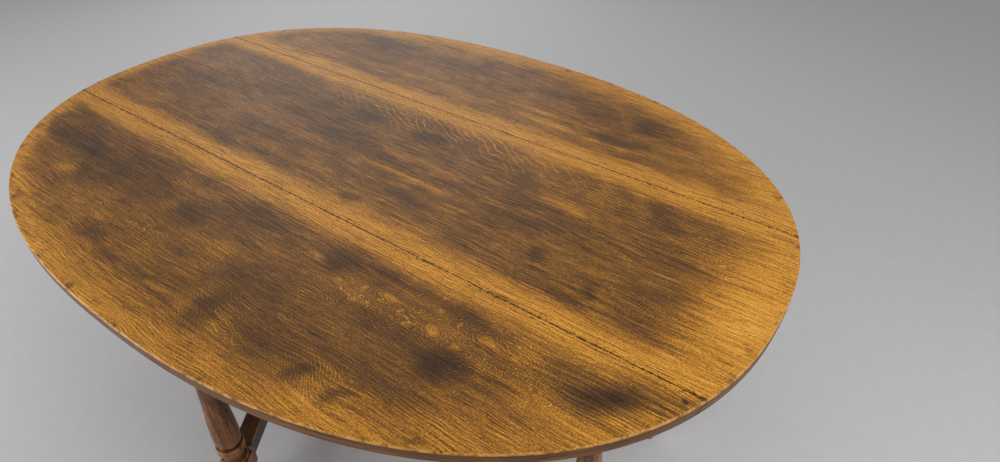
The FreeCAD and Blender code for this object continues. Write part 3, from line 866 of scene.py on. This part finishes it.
def tone_on(bench, cloud):
    """Tone of the top: smoke, then the oak's figure, its grain, the marks of use and painted shade on the
    near leaf.
    """
    flat, grain = bench.flat, bench.grain
    worn = bench.step(bench.noise(flat, *worn_waves), *worn_edge, worn_least)
    rings, bare_hearts, burl = nest_on(bench)
    fern, fern_cover = ferns_on(bench)
    plain_grain = bench.onto(1.0, bench.highest(burl, fern_cover), figure_hides_grain)
    fibre = bench.math("SUBTRACT", grain["Fibre"], 0.5)
    smudges = bench.step(bench.noise(flat, *smudge_waves), *smudge_edge)
    specks = bench.step(bench.noise(flat, *speck_waves), *speck_edge)
    marks = (
        (rays_on(bench), ray_share),
        (bench.times(rings, worn), nest_share),
        (bare_hearts, heart_share),
        (bench.times(fern, worn), fern_share),
        (bench.times(fibre, plain_grain), fibre_share),
        (bench.times(grain["Dashes"], plain_grain), dash_share),
        (grain["Rings"], ring_share),
        (bench.swing(flat, *stipple_waves), stipple_share),
        (bench.times(smudges, bench.step(bench.oval, *smudge_rim_edge)), smudge_share),
        (bench.times(specks, bench.step(bench.from_joint, *speck_joint_edge)), speck_share),
        (bench.times(bench.step(bench.y, *painted_shade_across), bench.step(bench.x, *painted_shade_along)), painted_shade_share),
        (bench.step(bench.noise(bench.own, *long_line_waves), *long_line_edge), long_line_share),
    )
    tone = smoke_on(bench, cloud)
    for mark, share in marks:
        tone = bench.onto(tone, mark, share)
    return tone


tick_waves = ((110, 40, 0), 3, 0.7)
tick_reach = 0.011
joint_dirt_edge = (0.0024, 0.0004)
glue_line_edge = (0.0011, 0.0003)
glue_line_share = 0.35
joint_end_edge = (0.903, 0.913)
end_dirt_edge = (0.008, 0.003)


def dirt_on(bench):
    """Dirt in the rule joints, widest at their broken ends, and a little in the glue lines."""
    ticks = bench.swing(bench.flat, *tick_waves)
    dirt = bench.step(bench.onto(bench.from_joint, ticks, tick_reach), *joint_dirt_edge)
    for edge in plank_edges:
        glue_line = bench.step(bench.apart(bench.y, edge), *glue_line_edge, 0.0, glue_line_share)
        dirt = bench.highest(dirt, glue_line)
    near_end = bench.step(bench.math("ABSOLUTE", bench.x), *joint_end_edge)
    end_dirt = bench.times(near_end, bench.step(bench.from_joint, *end_dirt_edge))
    return bench.highest(dirt, end_dirt)


# Rim: what counts as rim, from the middle of the oval, and how far below the top each of its bands lies
top_line = tint(40, 24, 12)
top_rim = tint(122, 79, 34)
top_rim_dark = tint(76, 48, 22)
top_bare = tint(206, 152, 84)
rim_edge = (0.9945, 0.9985)
rim_side_waves = ((9, 9, 160), 4, 0.6)
rim_side_edge = (0.35, 0.7)
rim_side_below = (0.0015, 0.005)
crease_lower = (0.0085, 0.007)
crease_upper = (0.0045, 0.006)
crease_share = 0.5
rim_arris_lower = (0.005, 0.0035)
rim_arris_upper = (-0.0002, 0.0012)
rim_bare_share = 0.7
rule_radius = 0.016
rule_drop = 0.021
rule_gap_edge = (0.003, 0.0008)
rule_gap_share = 0.9


def band(bench, start, end):
    """Mask that begins at one depth below the top and is full at another."""
    return bench.step(bench.z, top_surface - start, top_surface - end)


def rim_on(bench, colour):
    """Lay the rim over the top's colour: brown side, dark crease, rubbed arris and the joints' curved gap."""
    rim = bench.step(bench.oval, *rim_edge)
    side_tone = bench.step(bench.noise(bench.plain, *rim_side_waves), *rim_side_edge)
    side = bench.times(rim, band(bench, *rim_side_below))
    colour = bench.mix(side, colour, bench.mix(side_tone, top_rim, top_rim_dark))
    crease = bench.times(band(bench, *crease_lower), band(bench, *crease_upper))
    colour = bench.laid(colour, bench.times(crease, rim), crease_share, top_line)
    arris = bench.times(band(bench, *rim_arris_lower), band(bench, *rim_arris_upper))
    bare = bench.effect(rubbed_edges, Vector=bench.plain, Edge=bench.times(rim, arris))["Bare"]
    colour = bench.laid(colour, bare, rim_bare_share, top_bare)
    beyond = bench.math("SUBTRACT", bench.math("ABSOLUTE", bench.y), joint_y)
    above = bench.math("SUBTRACT", bench.z, top_surface - rule_drop)
    from_gap = bench.apart(bench.vector("LENGTH", bench.joined(beyond, above)), rule_radius)
    gap = bench.times(bench.step(from_gap, *rule_gap_edge), bench.math("GREATER_THAN", beyond, 0.0))
    return bench.laid(colour, bench.times(gap, rim), rule_gap_share, top_line)


# Colours of the top by tone, from bare gold to soot
top_stops = (
    (-0.5, tint(228, 166, 72)), (0.0, tint(203, 141, 45)), (0.4, tint(156, 102, 31)),
    (0.8, tint(108, 71, 26)), (1.2, tint(78, 51, 24)), (2.0, tint(36, 22, 12)),
)
top_under = tint(122, 88, 54)
under_below = (0.0215, 0.0235)
under_share = 0.8
under_dull = 0.35
top_pore_share = 0.35
top_dirt_share = 0.8
top_dull = 0.28
top_dull_cloud = 0.2
top_dull_dashes = 0.15
top_coat = 0.07
top_coat_dull = 0.25
top_grain_strength = 0.35


def top_oak_finish():
    """Waxed oak of the top, with planks, figure, stains and wear in their places, and its raw underside."""
    bench, shader, material = new_finish("top_oak", TopBench)
    grain = bench.grain
    cloud = bench.noise(bench.flat, *cloud_waves)
    colour = bench.ramp(tone_on(bench, cloud), top_stops)
    colour = bench.laid(colour, grain["Pores"], top_pore_share, top_line)
    colour = bench.laid(colour, dirt_on(bench), top_dirt_share, top_line)
    colour = rim_on(bench, colour)
    under = band(bench, *under_below)
    colour = bench.laid(colour, under, under_share, top_under)
    dull = bench.onto(top_dull, cloud, top_dull_cloud)
    dull = bench.onto(dull, grain["Dashes"], top_dull_dashes)
    dull = bench.onto(dull, under, under_dull)
    feed_shader(bench, shader, {
        "Base Color": colour, "Roughness": dull, "Coat Weight": bench.onto(top_coat, under, -top_coat),
        "Coat Roughness": top_coat_dull, "Specular IOR Level": oak_shine,
    })
    raise_grain(bench, shader, grain["Height"], grain_depth, top_grain_strength)
    return material


top_oak = top_oak_finish()
board_joints = {
    "centre_board": ((-joint_y, 1), (joint_y, -1)),
    "near_leaf": ((-joint_y - joint_width, -1),),
    "far_leaf": ((joint_y + joint_width, 1),),
}
for node, joints in board_joints.items():
    board = copied(node)
    for edge_y, inward in joints:
        chip_joint(board, edge_y, inward)
    finish_piece(board, node, top_oak)

# Blocks and buttons: small pieces of oak screwed or glued up under the top.
# They are sawn rather than planed, and were never waxed.

block_arris = 0.0008
block_shortest_edge = 0.005
block_pale = tint(158, 112, 64)
block_brown = tint(112, 74, 40)
block_ring_spacing = 0.0035
block_ring_wander = 0.008
block_fibre_edge = (0.3, 0.7)
block_ring_share = 0.5
block_pore_share = 0.6
block_dull = 0.5
block_dull_fibre = 0.3
block_grain_depth = 0.0005
block_grain_strength = 0.6


def block_oak_finish():
    """Dry sawn oak."""
    bench, shader, material = new_finish("block_oak")
    place = bench.place()
    grain = bench.effect(oak_grain, Vector=place, Spacing=block_ring_spacing, Wander=block_ring_wander)
    colour = bench.mix(bench.step(grain["Fibre"], *block_fibre_edge), block_brown, block_pale)
    colour = bench.laid(colour, grain["Rings"], block_ring_share, block_brown)
    colour = bench.laid(colour, grain["Pores"], block_pore_share, frame_dark)
    dull = bench.onto(block_dull, grain["Fibre"], block_dull_fibre)
    feed_shader(bench, shader, {"Base Color": colour, "Roughness": dull})
    raise_grain(bench, shader, grain["Height"], block_grain_depth, block_grain_strength)
    return material


block_oak = block_oak_finish()
for node in ("top_buttons", "near_gate_stop", "far_gate_stop", "near_rim_block", "far_rim_block"):
    block = copied(node)
    ease(block, block_arris, block_shortest_edge)
    finish_piece(block, node, block_oak)

# Hinges: three wrought back-flap hinges on each rule joint, let in flush under the boards.
# The iron is black with age, grey where its scale is thin and brown with rust in patches.

flap_arris = 0.0003
flap_shortest_edge = 0.004
iron_black = tint(46, 43, 41)
iron_grey = tint(86, 82, 78)
iron_rust = tint(98, 58, 34)
iron_scale_waves = ((160, 160, 160), 4, 0.6)
iron_scale_depth = 0.0004
iron_scale_strength = 0.5
iron_rust_waves = ((48, 48, 48), 5, 0.65)
iron_rust_edge = (0.52, 0.68)
iron_rust_share = 0.8
iron_metal = 0.75
iron_dull = 0.45
iron_dull_rust = 0.35
rust_metal = -0.6


def hinge_iron_finish():
    """Hammered iron with rust."""
    bench, shader, material = new_finish("hinge_iron")
    place = bench.place()
    scale = bench.noise(place, *iron_scale_waves)
    rust = bench.step(bench.noise(place, *iron_rust_waves), *iron_rust_edge)
    colour = bench.laid(bench.mix(scale, iron_black, iron_grey), rust, iron_rust_share, iron_rust)
    metal = bench.onto(iron_metal, rust, rust_metal)
    dull = bench.onto(iron_dull, rust, iron_dull_rust)
    feed_shader(bench, shader, {"Base Color": colour, "Metallic": metal, "Roughness": dull})
    raise_grain(bench, shader, scale, iron_scale_depth, iron_scale_strength)
    return material


hinge_iron = hinge_iron_finish()
for side in ("near", "far"):
    for number in (1, 2, 3):
        for kind in ("frame_flap", "leaf_flap", "pin"):
            node = f"{side}_hinge_{number}_{kind}"
            flap = copied(node)
            ease(flap, flap_arris, flap_shortest_edge)
            finish_piece(flap, node, hinge_iron)

# Screws: countersunk steel wood screws with one slot, turned to where the hand stopped.
# They hold the flaps, the buttons and the stops, and have gone grey.

slot_blade = (0.01008, 0.0009, 0.0018)
slot_turns = (0.3, 1.9, 2.6, 0.9, 1.4, 3.0, 0.1, 2.2, 1.1)
straight_down = -0.999
steel_grey = tint(128, 124, 118)
steel_dark = tint(70, 66, 62)
steel_rust = tint(104, 66, 42)
steel_scale_waves = ((420, 420, 420), 3, 0.6)
steel_rust_waves = ((150, 150, 150), 4, 0.6)
steel_rust_edge = (0.54, 0.7)
steel_rust_share = 0.7
steel_metal = 0.9
steel_dull = 0.38
steel_dull_rust = 0.3


def screw_places(piece):
    """Centre of each screw's head, from the flat faces that look straight down."""
    flats = [face for face in piece.data.polygons if face.normal.z < straight_down]
    return [face.center.copy() for face in flats if len(face.vertices) > round_end_sides]


def cut_slots(piece):
    """Saw the slots of a group of screws, half a blade deep."""
    blades = []
    for number, place in enumerate(screw_places(piece)):
        turn = slot_turns[number % len(slot_turns)]
        bpy.ops.mesh.primitive_cube_add(size=1, location=place, rotation=(0, 0, turn))
        blade = bpy.context.active_object
        blade.scale = slot_blade
        blades.append(blade)
    bpy.ops.object.select_all(action="DESELECT")
    for blade in blades:
        blade.select_set(True)
    bpy.context.view_layer.objects.active = blades[0]
    bpy.ops.object.join()
    cutter = bpy.context.active_object
    bpy.ops.object.transform_apply(location=True, rotation=True, scale=True)
    take_up(piece)
    slots = piece.modifiers.new("slots", "BOOLEAN")
    slots.operation = "DIFFERENCE"
    slots.object = cutter
    bpy.ops.object.modifier_apply(modifier=slots.name)
    bpy.data.objects.remove(cutter, do_unlink=True)


def screw_steel_finish():
    """Dull steel with a little rust."""
    bench, shader, material = new_finish("screw_steel")
    place = bench.place()
    scale = bench.noise(place, *steel_scale_waves)
    rust = bench.step(bench.noise(place, *steel_rust_waves), *steel_rust_edge)
    colour = bench.laid(bench.mix(scale, steel_dark, steel_grey), rust, steel_rust_share, steel_rust)
    metal = bench.onto(steel_metal, rust, rust_metal)
    dull = bench.onto(steel_dull, rust, steel_dull_rust)
    feed_shader(bench, shader, {"Base Color": colour, "Metallic": metal, "Roughness": dull})
    return material


screw_steel = screw_steel_finish()
screw_kinds = ("frame_flap", "leaf_flap", "gate_stop")
screw_nodes = [f"{side}_{kind}_screws" for side in ("near", "far") for kind in screw_kinds]
for node in screw_nodes + ["top_button_screws"]:
    screws = copied(node)
    cut_slots(screws)
    finish_piece(screws, node, screw_steel)

# Studio: a pale floor, soft light all round and three large lamps, and the camera of the photograph.
# The camera stands off the right end of the near leaf, about as high as the eyes of a standing person.

floor_half = 40.0
floor_pale = tint(196, 196, 198)
floor_grey = tint(186, 186, 189)
floor_waves = ((30, 30, 30), 4, 0.6)
floor_dull = 0.8
sky_tint = (1.0, 0.99, 0.97, 1.0)
sky_strength = 0.42
camera_place = (1.0203, -0.9579, 1.5475)
camera_pitch = math.radians(52.635)
camera_turn = math.radians(34.99)
camera_roll = math.radians(0.795)
camera_lens = 23.356

# Lamps: place, the point each looks at, width and power
lamps = (
    ((2.3, 0.0, 2.4), (0.5, 0.0, 0.74), 2.0, 45),
    ((-2.2, -3.2, 1.5), (-0.1, -0.5, 0.4), 3.6, 130),
    ((-2.6, 2.5, 2.0), (-0.3, 0.3, 0.74), 3.0, 24),
)

bpy.ops.mesh.primitive_plane_add(size=2 * floor_half)
floor = bpy.context.active_object
floor.name = "floor"
bench, shader, material = new_finish("pale_floor")
speckle = bench.noise(bench.place(), *floor_waves)
floor_colour = bench.mix(speckle, floor_grey, floor_pale)
feed_shader(bench, shader, {"Base Color": floor_colour, "Roughness": floor_dull})
floor.data.materials.append(material)

world = bpy.data.worlds.new("studio")
world.use_nodes = True
sky = world.node_tree.nodes["Background"]
sky.inputs["Color"].default_value = sky_tint
sky.inputs["Strength"].default_value = sky_strength
bpy.context.scene.world = world

for place, aim, size, power in lamps:
    bpy.ops.object.light_add(type="AREA", location=place)
    lamp = bpy.context.active_object
    lamp.data.size = size
    lamp.data.energy = power
    lamp.rotation_euler = (Vector(aim) - Vector(place)).to_track_quat("-Z", "Y").to_euler()

bpy.ops.object.camera_add(location=camera_place)
camera = bpy.context.active_object
looking = Matrix.Rotation(camera_turn, 3, "Z") @ Matrix.Rotation(camera_pitch, 3, "X")
camera.rotation_euler = (looking @ Matrix.Rotation(camera_roll, 3, "Z")).to_euler()
camera.data.lens = camera_lens
bpy.context.scene.camera = camera
bpy.context.scene.view_settings.view_transform = "Standard"
